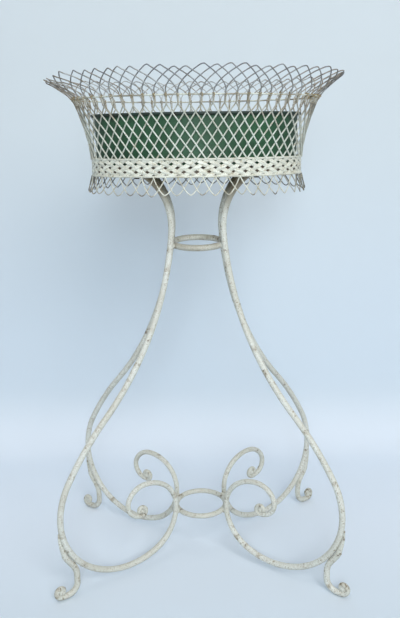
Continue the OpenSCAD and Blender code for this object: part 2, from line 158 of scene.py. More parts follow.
def addTube(form, line, radius, sides, rust, tone, closed=False, start=None, soil=0.0):
    # radius, rust and soil are one value or one for each point of the line
    count = len(line)
    radii = radius if isinstance(radius, list) else [radius] * count
    rusts = rust if isinstance(rust, list) else [rust] * count
    dirtAndShades = soil if isinstance(soil, list) else [soil] * count
    ways = headings(line, closed)
    normal = start.copy() if start is not None else ways[0].orthogonal().normalized()
    normal = (normal - ways[0] * normal.dot(ways[0])).normalized()
    normals = [normal]
    for i in range(1, count):
        n = turned(normals[-1], ways[i - 1], ways[i])
        normals.append((n - ways[i] * n.dot(ways[i])).normalized())
    twist = 0.0
    if closed:
        n = turned(normals[-1], ways[-1], ways[0])
        n = (n - ways[0] * n.dot(ways[0])).normalized()
        twist = math.atan2(n.cross(normals[0]).dot(ways[0]), n.dot(normals[0]))
    base = len(form["points"])
    for i in range(count):
        n = Matrix.Rotation(twist * i / count, 3, ways[i]) @ normals[i] if closed else normals[i]
        b = ways[i].cross(n)
        for k in range(sides):
            a = 2 * math.pi * k / sides
            form["points"].append(line[i] + radii[i] * (math.cos(a) * n + math.sin(a) * b))
            form["rust"].append(rusts[i])
            form["tone"].append(tone)
            form["soil"].append(dirtAndShades[i])
    rows = count if closed else count - 1
    for i in range(rows):
        for k in range(sides):
            j = (i + 1) % count
            form["faces"].append((base + i * sides + k, base + i * sides + (k + 1) % sides,
                                  base + j * sides + (k + 1) % sides, base + j * sides + k))
    if not closed:
        form["faces"].append(tuple(base + k for k in reversed(range(sides))))
        form["faces"].append(tuple(base + (count - 1) * sides + k for k in range(sides)))


def addRibbon(form, sections, rusts, tone):
    # sections are rings of the same number of points, joined into a closed strip
    count = len(sections[0])
    base = len(form["points"])
    for s, section in enumerate(sections):
        for p in section:
            form["points"].append(p)
            form["rust"].append(rusts[s])
            form["tone"].append(tone)
            form["soil"].append(0.0)
    for i in range(len(sections) - 1):
        for k in range(count):
            form["faces"].append((base + i * count + k, base + i * count + (k + 1) % count,
                                  base + (i + 1) * count + (k + 1) % count, base + (i + 1) * count + k))
    form["faces"].append(tuple(base + k for k in reversed(range(count))))
    form["faces"].append(tuple(base + (len(sections) - 1) * count + k for k in range(count)))


lumps = {
    "rings": 9,
    "sides": 10,
    "tip": 0.12,  # share of the radius that the ends keep
}
sharpAngle = 50  # degrees from which an edge is drawn sharp


def lump(form, centre, axis, length, radius, worn):
    # a blob of weld or a hammered eye, round like an egg along an axis
    line = []
    radii = []
    for i in range(lumps["rings"]):
        t = -1 + 2 * i / (lumps["rings"] - 1)
        line.append(centre + axis * (t * length / 2))
        radii.append(radius * max(math.sqrt(max(1 - t * t, 0)), lumps["tip"]))
    addTube(form, line, radii, lumps["sides"], worn, 0.0)


def makePiece(form, name, material, body, node):
    # a visible piece that rides on a body and takes the place of a node of the frame
    mesh = bpy.data.meshes.new(name)
    mesh.from_pydata([tuple(p) for p in form["points"]], [], form["faces"])
    mesh.validate()
    for key, label in (("rust", "rustMark"), ("tone", "toneMark"), ("soil", "dirtAndShadeMark")):
        attribute = mesh.attributes.new(label, "FLOAT", "POINT")
        attribute.data.foreach_set("value", form[key])
    mesh.shade_smooth()
    mesh.set_sharp_from_angle(angle=math.radians(sharpAngle))
    mesh.materials.append(material)
    piece = bpy.data.objects.new(name, mesh)
    bpy.context.scene.collection.objects.link(piece)
    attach(piece, body)
    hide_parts(node)
    print("piece:", name, len(form["points"]), "points")


# Shader groups that the finishes share

def newGroup(name, inputs, outputs):
    group = bpy.data.node_groups.new(name, "ShaderNodeTree")
    kinds = {"color": "NodeSocketColor", "value": "NodeSocketFloat", "vector": "NodeSocketVector"}
    for label, kind, default in inputs:
        socket = group.interface.new_socket(name=label, in_out="INPUT", socket_type=kinds[kind])
        socket.default_value = default
    for label, kind in outputs:
        group.interface.new_socket(name=label, in_out="OUTPUT", socket_type=kinds[kind])
    return group, group.nodes.new("NodeGroupInput"), group.nodes.new("NodeGroupOutput")


def plug(tree, socket, value):
    # a plain value stays on the socket and another node's output is linked to it
    if isinstance(value, bpy.types.NodeSocket):
        tree.links.new(value, socket)
    else:
        socket.default_value = value


def noise(tree, vector, scale, detail, rough=0.55):
    node = tree.nodes.new("ShaderNodeTexNoise")
    node.inputs["Scale"].default_value = scale
    node.inputs["Detail"].default_value = detail
    node.inputs["Roughness"].default_value = rough
    tree.links.new(vector, node.inputs["Vector"])
    return node.outputs["Fac"]


def maths(tree, operation, *values):
    node = tree.nodes.new("ShaderNodeMath")
    node.operation = operation
    for socket, value in zip(node.inputs, values):
        plug(tree, socket, value)
    return node.outputs[0]


def step(tree, value, low, high):
    # smooth rise from 0 at low to 1 at high
    node = tree.nodes.new("ShaderNodeMapRange")
    node.interpolation_type = "SMOOTHSTEP"
    node.inputs["From Min"].default_value = low
    node.inputs["From Max"].default_value = high
    tree.links.new(value, node.inputs["Value"])
    return node.outputs["Result"]


def blendColour(tree, factor, first, second):
    # a Mix node holds its colours in sockets 6 and 7 and gives the blend from socket 2
    node = tree.nodes.new("ShaderNodeMix")
    node.data_type = "RGBA"
    for number, value in ((0, factor), (6, first), (7, second)):
        plug(tree, node.inputs[number], value)
    return node.outputs[2]


def mixed(tree, first, second, share):
    # two noises added by share
    return maths(tree, "MULTIPLY_ADD", first, share, maths(tree, "MULTIPLY", second, 1 - share))


def raised(tree, level, wear, pull, amount, gain):
    # a noise that rises where the metal is worn and with the finish's own amount
    worn = maths(tree, "MULTIPLY_ADD", wear, pull, level)
    return maths(tree, "ADD", worn, maths(tree, "MULTIPLY", amount, gain))


def linear(red, green, blue):
    # a colour given as it looks on screen, 0 to 255
    def one(c):
        c = c / 255
        return c / 12.92 if c <= 0.04045 else ((c + 0.055) / 1.055) ** 2.4
    return (one(red), one(green), one(blue), 1.0)


paintMarks = {
    "scales": {"broad": 14, "middle": 55, "fine": 210, "grit": 620},  # noise cells in a metre
    "shade": (0.4, 0.6),  # noise levels at which each mark starts and is full
    "stain": (0.58, 0.78),
    "soil": (0.0, 1.0),
    "halo": (0.62, 0.72),
    "chip": (0.70, 0.73),
    "pepper": (0.52, 0.61),
    "shadeMix": 0.55,  # share of the finer of the two noises that make each mark
    "stainMix": 0.65,
    "chipMix": 0.62,
    "pepperMix": 0.6,
    "stainCover": 0.75,  # how much of the paint a full mark hides
    "dirtAndShadeCover": 0.9,
    "haloCover": 0.6,
    "pepperCover": 0.85,
    "dirtAndShadePatch": 0.5,  # how unevenly the dirt and painted shade lie
    "wearStains": 0.2,  # how much wear and a finish's own amount bring each mark out
    "wearChips": 0.13,
    "stainGain": 0.2,
    "chipGain": 0.15,
    "roughness": 0.42,  # of sound paint
    "chipRough": 0.3,
    "stainRough": 0.18,
    "gritHeight": 0.25,
    "fineHeight": 0.5,
    "chipDepth": 0.7,
    "grainDepth": 0.0006,  # metres
    "shine": 0.4,
}


def agedPaintGroup():
    # old paint: two shades, brown stains, dirt and painted shade, chips with a brown edge and fine pepper
    tree, given, result = newGroup(
        "agedPaint",
        [("Vector", "vector", (0, 0, 0)), ("Paint", "color", (0.8, 0.8, 0.7, 1)),
         ("Shade", "color", (0.6, 0.6, 0.5, 1)), ("Stain", "color", (0.4, 0.3, 0.2, 1)),
         ("Bare", "color", (0.1, 0.07, 0.05, 1)), ("Stains", "value", 0.5), ("Chips", "value", 0.5),
         ("Wear", "value", 0.0), ("Tone", "value", 0.0), ("Soil", "value", 0.0),
         ("Dirt", "color", (0.1, 0.08, 0.06, 1))],
        [("Color", "color"), ("Roughness", "value"), ("Height", "value")])
    v = given.outputs["Vector"]
    wear = given.outputs["Wear"]
    stain = given.outputs["Stain"]
    marks = paintMarks
    broad = noise(tree, v, marks["scales"]["broad"], 2)
    middle = noise(tree, v, marks["scales"]["middle"], 4)
    fine = noise(tree, v, marks["scales"]["fine"], 3, 0.6)
    grit = noise(tree, v, marks["scales"]["grit"], 2)

    patchy = maths(tree, "ADD", mixed(tree, fine, broad, marks["shadeMix"]), given.outputs["Tone"])
    shadeMask = step(tree, patchy, *marks["shade"])
    colour = blendColour(tree, shadeMask, given.outputs["Shade"], given.outputs["Paint"])

    stainLevel = raised(tree, mixed(tree, middle, broad, marks["stainMix"]), wear, marks["wearStains"],
                        given.outputs["Stains"], marks["stainGain"])
    stainMask = step(tree, stainLevel, *marks["stain"])
    colour = blendColour(tree, maths(tree, "MULTIPLY", stainMask, marks["stainCover"]), colour, stain)

    # dirt and, on some pieces, painted shade, blended towards the dark tint
    dirtAndShadeBase = maths(tree, "ADD", given.outputs["Soil"], -marks["dirtAndShadePatch"] / 2)
    dirtAndShadeMask = step(tree, maths(tree, "MULTIPLY_ADD", middle, marks["dirtAndShadePatch"], dirtAndShadeBase), *marks["soil"])
    dirtAndShadeMask = maths(tree, "MULTIPLY", dirtAndShadeMask, marks["dirtAndShadeCover"])
    colour = blendColour(tree, dirtAndShadeMask, colour, given.outputs["Dirt"])

    chipLevel = raised(tree, mixed(tree, fine, middle, marks["chipMix"]), wear, marks["wearChips"],
                       given.outputs["Chips"], marks["chipGain"])
    haloMask = step(tree, chipLevel, *marks["halo"])
    chipMask = step(tree, chipLevel, *marks["chip"])
    colour = blendColour(tree, maths(tree, "MULTIPLY", haloMask, marks["haloCover"]), colour, stain)
    colour = blendColour(tree, chipMask, colour, given.outputs["Bare"])

    pepperMask = step(tree, mixed(tree, grit, fine, marks["pepperMix"]), *marks["pepper"])
    colour = blendColour(tree, maths(tree, "MULTIPLY", pepperMask, marks["pepperCover"]), colour, stain)

    grain = maths(tree, "MULTIPLY_ADD", grit, marks["gritHeight"],
                  maths(tree, "MULTIPLY", fine, marks["fineHeight"]))
    height = maths(tree, "SUBTRACT", grain, maths(tree, "MULTIPLY", chipMask, marks["chipDepth"]))
    rough = maths(tree, "MULTIPLY_ADD", chipMask, marks["chipRough"], marks["roughness"])
    rough = maths(tree, "ADD", rough, maths(tree, "MULTIPLY", stainMask, marks["stainRough"]))
    tree.links.new(colour, result.inputs["Color"])
    tree.links.new(rough, result.inputs["Roughness"])
    tree.links.new(height, result.inputs["Height"])
    return tree


undersideShadeMarks = {
    "scale": 70,
    "uneven": 0.9,
    "down": (0.05, 0.75),  # how far a surface faces down where the painted shade and grime start and are full
}


def undersideShadeAndGrimeGroup():
    # painted shade and grime: darkens what faces down, where shade falls and dirt and old rust stay under the
    # paint
    tree, given, result = newGroup(
        "undersideShadeAndGrime",
        [("Vector", "vector", (0, 0, 0)), ("Color", "color", (0.8, 0.8, 0.7, 1)),
         ("Grime", "color", (0.2, 0.17, 0.13, 1)), ("Amount", "value", 0.6)],
        [("Color", "color")])
    surface = tree.nodes.new("ShaderNodeNewGeometry")
    parts = tree.nodes.new("ShaderNodeSeparateXYZ")
    tree.links.new(surface.outputs["Normal"], parts.inputs[0])
    patch = noise(tree, given.outputs["Vector"], undersideShadeMarks["scale"], 3)
    uneven = maths(tree, "MULTIPLY_ADD", patch, undersideShadeMarks["uneven"], -undersideShadeMarks["uneven"] / 2)
    # painted shade: the more a surface faces down, the darker it is made, unevenly like grime
    down = maths(tree, "MULTIPLY_ADD", parts.outputs["Z"], -1.0, uneven)
    mask = maths(tree, "MULTIPLY", step(tree, down, *undersideShadeMarks["down"]), given.outputs["Amount"])
    colour = blendColour(tree, mask, given.outputs["Color"], given.outputs["Grime"])
    tree.links.new(colour, result.inputs["Color"])
    return tree


agedPaint = agedPaintGroup()
undersideShadeAndGrime = undersideShadeAndGrimeGroup()


def placeGroup(tree, group, values):
    node = tree.nodes.new("ShaderNodeGroup")
    node.node_tree = group
    for label, value in values.items():
        plug(tree, node.inputs[label], value)
    return node


def newMaterial(name):
    material = bpy.data.materials.new(name)
    material.use_nodes = True
    tree = material.node_tree
    return material, tree, tree.nodes["Principled BSDF"]


def mark(tree, name):
    node = tree.nodes.new("ShaderNodeAttribute")
    node.attribute_name = name
    return node.outputs["Fac"]


def paintedMetal(name, looks):
    material, tree, shader = newMaterial(name)
    where = tree.nodes.new("ShaderNodeTexCoord").outputs["Object"]
    wear = maths(tree, "ADD", mark(tree, "rustMark"), looks["wear"])
    paint = placeGroup(tree, agedPaint, {
        "Vector": where, "Paint": looks["paint"], "Shade": looks["shade"], "Stain": looks["stain"],
        "Bare": looks["bare"], "Stains": looks["stains"], "Chips": looks["chips"],
        "Wear": wear, "Tone": mark(tree, "toneMark"), "Soil": mark(tree, "dirtAndShadeMark"), "Dirt": looks["dirt"]})
    # painted shade and grime on what faces down
    grime = placeGroup(tree, undersideShadeAndGrime, {
        "Vector": where, "Color": paint.outputs["Color"], "Grime": looks["grime"], "Amount": looks["under"]})
    bump = tree.nodes.new("ShaderNodeBump")
    bump.inputs["Strength"].default_value = looks["bump"]
    bump.inputs["Distance"].default_value = paintMarks["grainDepth"]
    tree.links.new(paint.outputs["Height"], bump.inputs["Height"])
    tree.links.new(grime.outputs["Color"], shader.inputs["Base Color"])
    tree.links.new(paint.outputs["Roughness"], shader.inputs["Roughness"])
    tree.links.new(bump.outputs["Normal"], shader.inputs["Normal"])
    shader.inputs["Specular IOR Level"].default_value = paintMarks["shine"]
    return material


# Colours as they look on screen; stains, chips and wear set how much of each mark shows, under
# is the painted shade and grime on what faces down and bump the depth of the grain
# the stand's dark tint is the brown of the legs' tops, painted shadow under the basket and stain
standLooks = {
    "paint": linear(226, 229, 221), "shade": linear(208, 208, 196), "stain": linear(166, 156, 134),
    "bare": linear(76, 64, 54), "grime": linear(140, 134, 118), "dirt": linear(112, 91, 48),
    "stains": 0.12, "chips": 0.44, "wear": 0.0, "under": 0.45, "bump": 0.8,
}
wireLooks = {
    "paint": linear(230, 236, 226), "shade": linear(214, 220, 207), "stain": linear(182, 172, 146),
    "bare": linear(96, 88, 74), "grime": linear(146, 148, 138), "dirt": linear(118, 108, 94),
    "stains": 0.15, "chips": 0.22, "wear": 0.0, "under": 0.5, "bump": 0.5,
}
# loopPaint's dark tint is the painted shade of the front loops
loopLooks = {
    "paint": linear(201, 205, 202), "shade": linear(175, 178, 177), "stain": linear(140, 127, 106),
    "bare": linear(84, 80, 76), "grime": linear(116, 118, 120), "dirt": linear(78, 85, 98),
    "stains": 0.45, "chips": 0.3, "wear": 0.0, "under": 0.6, "bump": 0.5,
}
# the band's dark tint darkens its border wires a little and gives the painted shade of the fringe's back
# loops
bandLooks = {
    "paint": linear(232, 235, 222), "shade": linear(216, 217, 203), "stain": linear(186, 177, 150),
    "bare": linear(96, 84, 68), "grime": linear(140, 134, 118), "dirt": linear(74, 73, 74),
    "stains": 0.15, "chips": 0.3, "wear": 0.0, "under": 0.35, "bump": 0.6,
}
knotLooks = {
    "paint": linear(222, 219, 203), "shade": linear(204, 198, 178), "stain": linear(170, 156, 122),
    "bare": linear(104, 92, 70), "grime": linear(144, 134, 108), "dirt": linear(150, 129, 82),
    "stains": 0.3, "chips": 0.3, "wear": 0.0, "under": 0.4, "bump": 0.6,
}
linerLooks = {
    "paint": linear(53, 100, 67), "shade": linear(42, 81, 54), "stain": linear(40, 58, 46),
    "bare": linear(40, 34, 28), "grime": linear(34, 44, 36), "dirt": linear(26, 36, 30),
    "stains": 0.35, "chips": 0.1, "wear": 0.0, "under": 0.4, "bump": 0.35,
}
linerEdgeLooks = {
    "paint": linear(38, 62, 52), "shade": linear(32, 50, 43), "stain": linear(44, 48, 40),
    "bare": linear(56, 44, 36), "grime": linear(24, 28, 24), "dirt": linear(22, 26, 22),
    "stains": 0.4, "chips": 0.35, "wear": 0.1, "under": 0.4, "bump": 0.4,
}
floorIronLooks = {
    "paint": linear(96, 88, 76), "shade": linear(72, 64, 54), "stain": linear(84, 60, 40),
    "bare": linear(44, 34, 28), "grime": linear(36, 30, 26), "dirt": linear(34, 28, 24),
    "stains": 0.6, "chips": 0.4, "wear": 0.1, "under": 0.5, "bump": 0.7,
}

standPaint = paintedMetal("standPaint", standLooks)
wirePaint = paintedMetal("wirePaint", wireLooks)
loopPaint = paintedMetal("loopPaint", loopLooks)
bandPaint = paintedMetal("bandPaint", bandLooks)
knotBinding = paintedMetal("knotBinding", knotLooks)
linerPaint = paintedMetal("linerPaint", linerLooks)
linerEdgePaint = paintedMetal("linerEdgePaint", linerEdgeLooks)
floorIron = paintedMetal("floorIron", floorIronLooks)
print("stage: materials made")


def middleHeight(node):
    lo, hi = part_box(node)
    return (lo.z + hi.z) / 2


rimZ = middleHeight("rim_hoop")
bandHighZ = middleHeight("band_top_wire")
bandLowZ = middleHeight("band_bottom_wire")
lowerRingZ = middleHeight("lower_ring")

wires = {
    "radius": 0.0013,
    "count": 58,
    "lowEnd": 6.95,  # where a wire ends, in half meshes below the pairing line
    "highEnd": -0.3,
    "mesh": 0.0131,  # height of a half mesh at the pairing line
    "meshLess": 0.00014,  # what it loses on the way down
    "samples": 30,
    "sides": 6,
    "pairBelowRim": 0.013,
    "pairFlare": 0.021,
    "flareCurve": 1.6,
    "layer": 0.00155,
    "hoopLayer": 0.00315,
    "hoopReach": 0.0045,  # height over which the wires part round the hoop
    "pairSide": 0.0003,  # how far each wire of a pair stands to its own side
    "wobble": 0.0005,
    "wobbleTurn": 0.9,
    "topThin": 0.00025,  # how much thinner the wires' radius looks at the pairing line
    "topWear": 0.5,
    "wear": (-0.1, 0.25),
    "tone": 0.12,
    "topDarkening": 0.55,
    "topFrom": 0.6,  # share of the wall's height from which the wires grow darker towards the top
    "endDarkening": 0.8,
    "endX": 0.18,
    "endFrom": 0.55,  # share of endX from which the wires grow darker towards the ends
}
pairZ = rimZ - wires["pairBelowRim"]
loopPitch = roundRun / wires["count"]


def wallAt(z):
    # offset and lean of the basket's wall at a height
    if z >= pairZ:
        slope = (oval["rimFlare"] - wires["pairFlare"]) / wires["pairBelowRim"]
        return wires["pairFlare"] + (z - pairZ) * slope, math.atan(slope)
    tall = pairZ - bandHighZ
    u = max((z - bandHighZ) / tall, 0.0)
    curve = wires["flareCurve"]
    slope = wires["pairFlare"] * curve * u ** (curve - 1) / tall
    return wires["pairFlare"] * u ** curve, math.atan(slope)


def latticeWire(index, way, dice):
    # way is 1 for wires that rise towards +run, which lie on the inner layer
    line = []
    middle = (index + 0.5) * loopPitch
    phase = anyPhase(dice)
    for i in range(wires["samples"] + 1):
        k = wires["lowEnd"] - (wires["lowEnd"] - wires["highEnd"]) * i / wires["samples"]
        z = pairZ - wires["mesh"] * k + wires["meshLess"] * k * k
        side = -k * loopPitch / 2
        if k < 0:
            side = wires["pairSide"] * math.tanh(side / wires["pairSide"])
        offset, lean = wallAt(z)
        wobble = wires["wobble"] * math.sin(phase + wires["wobbleTurn"] * k) * min(max(k, 0), 1)
        run = middle + way * side + wobble
        line.append(ovalPoint(run, offset, z) - way * wires["layer"] * outward(run, lean))
    return line


def latticeDarkening(p):
    # darker up to the pairing line and towards the basket's ends
    up = max(0.0, (p.z - bandHighZ) / (pairZ - bandHighZ) - wires["topFrom"]) / (1 - wires["topFrom"])
    end = max(0.0, abs(p.x) / wires["endX"] - wires["endFrom"])
    return wires["topDarkening"] * up + wires["endDarkening"] * end


def makeLattice():
    dice = random.Random(seeds["lattice"])
    for way, name, node in ((1, "latticeRising", "lattice_wires_rising"),
                            (-1, "latticeFalling", "lattice_wires_falling")):
        form = newForm()
        for i in range(wires["count"]):
            line = latticeWire(i, way, dice)
            shares = [j / len(line) for j in range(len(line))]
            worn = [wires["topWear"] * share ** 3 + dice.uniform(*wires["wear"]) for share in shares]
            radii = [wires["radius"] - wires["topThin"] * share for share in shares]
            soil = [latticeDarkening(p) for p in line]
            addTube(form, line, radii, wires["sides"], worn, either(dice, wires["tone"]), soil=soil)
        makePiece(form, name, wirePaint, "stand", node)


makeLattice()

loops = {
    "radius": 0.00097,
    "rise": 0.041,
    "flare": 0.044,
    "endFlare": 0.006,  # how much more the loops flare out at the basket's ends
    "leftEnd": (1.0, 0.77),  # shares of the flare and the rise that remain at each end
    "rightEnd": (0.94, 0.97),
    "bow": 0.15,  # how far the flare stays behind the rise
    "span": 4,  # knots from a loop's first leg to its last
    "lowest": 0.90,  # share of the full rise that the lowest loops reach
    "sway": 0.0028,
    "legs": (0.0035, 0.007, 0.010),  # points of the straight legs above the pairing line
    "underHoop": 0.0012,
    "tipRound": 0.0016,  # larger is blunter
    "shoulder": 0.3,
    "tipCross": 0.12,  # share of the way from the tip over which the wire changes layers
    "steps": [1, 0.997, 0.988, 0.97, 0.94, 0.9, 0.84, 0.76, 0.67, 0.57, 0.47, 0.37,
              0.28, 0.2, 0.13, 0.08, 0.04, 0],
    "tipWear": 0.2,
    "endWear": 0.9,
    "wear": 0.2,
    "tone": (-0.15, 0.12),
    "shade": (-0.2, 0.25),  # painted shade, with worn paint: how dark a loop is, more at the front and less at the ends
    "frontShade": 0.22,
    "endLessShade": 0.2,
    "tipShade": 0.5,
    "legShade": 0.2,  # share of the shade that the legs get
    "shadeRise": 2.5,
    "shadeSpread": 0.05,
}


def loopHeight(s):
    e = math.sqrt(s * s + loops["tipRound"])
    return 0.5 * (1 - e) + 0.5 * max(1 - e, 0.0) ** loops["shoulder"]


def flareAt(t, run):
    turn = math.cos(ovalArc(run)[3])
    ends = loops["rightEnd"] if turn > 0 else loops["leftEnd"]
    flare = (loops["flare"] + loops["endFlare"] * turn ** 2) * (1 + (ends[0] - 1) * turn ** 4)
    rise = loops["rise"] * (1 + (ends[1] - 1) * turn ** 4)
    bow = loops["bow"]
    offset = oval["rimFlare"] + flare * t * (1 - bow + bow * t)
    z = rimZ + rise * t * (1 + bow - bow * t)
    lean = math.atan2(flare * (1 - bow + 2 * bow * t), rise * (1 + bow - 2 * bow * t))
    return offset, z, lean


def layerAt(z):
    apart = math.exp(-((z - rimZ) / wires["hoopReach"]) ** 2)
    return wires["layer"] + (wires["hoopLayer"] - wires["layer"]) * apart


def makeLoops():
    dice = random.Random(seeds["loops"])
    form = newForm()
    half = loops["span"] / 2 * loopPitch
    legHeights = [pairZ + up for up in loops["legs"]] + [rimZ - loops["underHoop"]]
    for i in range(wires["count"]):
        middle = (i + 0.5) * loopPitch
        reach = dice.uniform(loops["lowest"], 1.0)
        sway = either(dice, loops["sway"])
        # one leg as its share of the way from the middle, its share of the rise and, where it
        # is still on the wall, its height
        side = [(1.0, 0.0, z) for z in legHeights]
        side += [(s, loopHeight(s) * reach, None) for s in loops["steps"]]
        line = []
        worn = []
        soil = []
        facing = ovalArc(middle)[3]
        endwise = math.cos(facing) ** 2
        # painted shade: loops at the front show their shaded undersides and are made darker, those at the
        # ends less so
        shade = dice.uniform(*loops["shade"])
        shade -= loops["frontShade"] * math.sin(facing) + loops["endLessShade"] * endwise
        for way, part in ((-1, side), (1, side[-2::-1])):
            for s, t, z in part:
                run = middle + way * s * (half - wires["pairSide"]) + sway * t
                if z is None:
                    offset, z, lean = flareAt(t, run)
                else:
                    offset, lean = wallAt(z)
                layer = way * min(1.0, s / loops["tipCross"]) * layerAt(z)
                line.append(ovalPoint(run, offset, z) + layer * outward(run, lean))
                worn.append(loops["tipWear"] * t + loops["endWear"] * endwise + either(dice, loops["wear"]))
                above = min(1.0, loops["legShade"] + loops["shadeRise"] * t)
                soil.append((shade + loops["tipShade"] * t ** 2) * above + either(dice, loops["shadeSpread"]))
        addTube(form, line, loops["radius"], wires["sides"], worn, dice.uniform(*loops["tone"]), soil=soil)
    makePiece(form, "topLoops", loopPaint, "stand", "top_loops")


makeLoops()

dents = {
    "waves": 6,
    "slowest": 3,
    "quickest": 23,
    "points": 290,
    "hoop": 0.00012,  # depth of a dent in the hoops
    "hoopSides": 8,
    "thickness": (0.95, 1.02),
    "wear": (-0.1, 0.4),
    "soilTurn": 0.37,
    "soilDrift": 0.11,
}


def wobblyLine(offset, z, count, side, seed):
    # a closed line round the oval with slow dents in and out and up and down
    dice = random.Random(seed)
    waves = []
    for _ in range(dents["waves"]):
        rate = dice.randint(dents["slowest"], dents["quickest"])
        waves.append((rate, anyPhase(dice), either(dice, 1), either(dice, 1)))
    line = []
    for i in range(count):
        run = roundRun * i / count
        a = 2 * math.pi * i / count
        dx = sum(w[2] * math.sin(w[0] * a + w[1]) for w in waves) * side
        dz = sum(w[3] * math.cos(w[0] * a + w[1]) for w in waves) * side
        line.append(ovalPoint(run, offset + dx, z + dz))
    return line


hoops = {
    "rimHoop": {"node": "rim_hoop", "offset": oval["rimFlare"], "z": rimZ, "radius": 0.0013,
                "material": wirePaint, "slot": "wire_paint", "seed": 5, "soil": 0.8},
    "bandTopWire": {"node": "band_top_wire", "offset": 0, "z": bandHighZ, "radius": 0.0018,
                    "material": bandPaint, "slot": "band_paint", "seed": 6, "soil": 0.15},
    "bandBottomWire": {"node": "band_bottom_wire", "offset": 0, "z": bandLowZ, "radius": 0.0018,
                       "material": bandPaint, "slot": "band_paint", "seed": 7, "soil": 0.25},
}


def makeHoops():
    for name, hoop in hoops.items():
        form = newForm()
        dice = random.Random(hoop["seed"])
        count = dents["points"]
        radii = [hoop["radius"] * dice.uniform(*dents["thickness"]) for _ in range(count)]
        worn = [dice.uniform(*dents["wear"]) for _ in range(count)]
        soil = []
        for i in range(count):
            patch = 0.5 + 0.5 * math.sin(dents["soilTurn"] * i + 2 * math.sin(dents["soilDrift"] * i))
            soil.append(hoop["soil"] * patch)
        line = wobblyLine(hoop["offset"], hoop["z"], count, dents["hoop"], hoop["seed"])
        addTube(form, line, radii, dents["hoopSides"], worn, 0.0, closed=True, soil=soil)
        makePiece(form, name, hoop["material"], "stand", hoop["node"])


makeHoops()

knots = {
    "wire": 0.00038,
    "sides": 5,
    "standOff": 0.3,  # share of the binding wire's radius that stands off what it binds
    "turns": 5,
    "hoopTurns": 2,
    "turnSteps": 9,
    "low": 0.001,  # above the pairing line
    "underHoop": 0.003,
    "high": 0.0024,  # above the rim hoop
    "tall": (0.75, 1.0),
    "spread": 0.8,  # how steeply the winding opens out over the hoop
    "swell": 1.2,  # how much thicker the winding is over the hoop
    "swellFrom": 0.62,  # share of the winding's length at which that starts
    "swellRise": 5,
    "wear": 0.1,
    "tone": 0.2,
    "soil": (0.35, 1.5),
}


def knotHeight(turn, tall):
    under = rimZ - knots["underHoop"]
    if turn <= knots["turns"]:
        return under - (under - pairZ - knots["low"]) * tall * (1 - turn / knots["turns"])
    return under + (knots["high"] + knots["underHoop"]) * (turn - knots["turns"]) / knots["hoopTurns"]


def makeKnots():
    # fine wire wound up each pair and over the rim hoop
    dice = random.Random(seeds["knots"])
    form = newForm()
    last = (knots["turns"] + knots["hoopTurns"]) * knots["turnSteps"]
    standOff = knots["wire"] * knots["standOff"]
    for i in range(wires["count"]):
        middle = (i + 0.5) * loopPitch
        spin = anyPhase(dice)
        tall = dice.uniform(*knots["tall"])
        line = []
        for j in range(last + 1):
            turn = j / knots["turnSteps"]
            z = knotHeight(turn, tall)
            offset, lean = wallAt(z)
            if z > rimZ:
                offset += (z - rimZ) * knots["spread"]
            a = spin + 2 * math.pi * turn
            across = (wires["pairSide"] + loops["radius"] + standOff) * math.sin(a)
            deep = (layerAt(z) + loops["radius"] + standOff) * math.cos(a)
            line.append(ovalPoint(middle + across, offset, z) + deep * outward(middle, lean))
        count = len(line)
        top = dice.uniform(*knots["soil"])
        worn = either(dice, knots["wear"])
        past = [max(0.0, j / count - knots["swellFrom"]) for j in range(count)]
        above = [min(1.0, share * knots["swellRise"]) for share in past]
        soil = [top * share for share in above]
        radii = [knots["wire"] * (1 + knots["swell"] * share) for share in above]
        addTube(form, line, radii, knots["sides"], worn, either(dice, knots["tone"]), soil=soil)
    makePiece(form, "rimKnots", knotBinding, "stand", "rim_ties")


makeKnots()
print("stage: basket wires made")

band = {
    "strips": 48,
    "width": 0.0140,  # measured level
    "thick": 0.0009,
    "lean": 2,  # strip spacings that a strip crosses
    "weave": 0.00068,
    "waves": 2,  # times that a strip goes out and in between the border wires
    "inset": 0.0008,
    "levels": 24,
    "wide": (0.9, 1.04),
    "shift": 0.0011,
    "wear": (-0.1, 0.3),
    "tone": 0.1,
    # a flat strip's cut with softly rounded edges, as shares of half its width and thickness
    "cut": ((-1, 0), (-0.9, 1), (0, 1.12), (0.9, 1), (1, 0), (0.9, -1), (0, -1.12), (-0.9, -1)),
}
stripPitch = roundRun / band["strips"]


def makeStrips():
    dice = random.Random(seeds["strips"])
    low = bandLowZ + band["inset"]
    high = bandHighZ - band["inset"]
    for way, name, node in ((1, "bandStripsOuter", "band_strips_outer"),
                            (-1, "bandStripsInner", "band_strips_inner")):
        form = newForm()
        for i in range(band["strips"]):
            wide = band["width"] / 2 * dice.uniform(*band["wide"])
            shift = either(dice, band["shift"])
            sections = []
            for j in range(band["levels"] + 1):
                s = j / band["levels"]
                z = low + (high - low) * s
                run = (i + way * band["lean"] * (s - 0.5)) * stripPitch + shift
                out = way * band["weave"] * math.cos(2 * math.pi * band["waves"] * (s - 0.5))
                sections.append([ovalPoint(run + across * wide, out + depth * (band["thick"] / 2), z)
                                 for across, depth in band["cut"]])
            worn = [dice.uniform(*band["wear"]) for _ in sections]
            addRibbon(form, sections, worn, either(dice, band["tone"]))
        makePiece(form, name, bandPaint, "stand", node)


